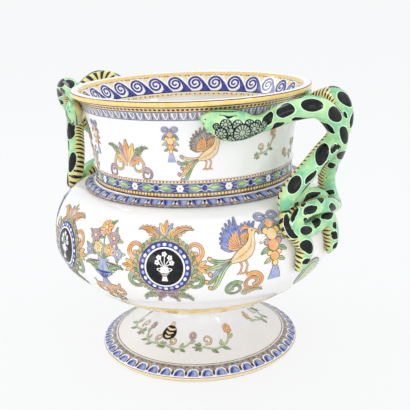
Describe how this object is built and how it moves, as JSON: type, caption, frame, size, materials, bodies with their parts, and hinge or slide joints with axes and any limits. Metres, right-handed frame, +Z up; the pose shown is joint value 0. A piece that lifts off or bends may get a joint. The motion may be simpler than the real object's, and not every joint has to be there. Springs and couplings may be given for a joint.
{
  "type": "two-handled snake vase",
  "caption": "Footed wide-necked earthenware vase with a painted tin glaze and two side handles of entwined snakes, heads on the neck and tails on the bowl.",
  "frame": {"origin": "centre of the flat ring that the foot stands on", "axes": "+Z up along the vase's axis; +X from the axis through the middle of one handle; -Y toward the front"},
  "size_m": [0.357, 0.302, 0.2923],
  "materials": {
    "white_tin_glaze": "glossy white tin glaze with painted ornament in blue, ochre, green and brown",
    "green_snake_glaze": "glossy green glaze with black spots and a yellow belly barred with black"
  },
  "bodies": {
    "root": {"foot": "white_tin_glaze", "bowl": "white_tin_glaze", "neck": "white_tin_glaze", "right_handle_front_snake": "green_snake_glaze", "right_handle_rear_snake": "green_snake_glaze", "left_handle_rear_snake": "green_snake_glaze", "left_handle_front_snake": "green_snake_glaze"}
  },
  "joints": []
}
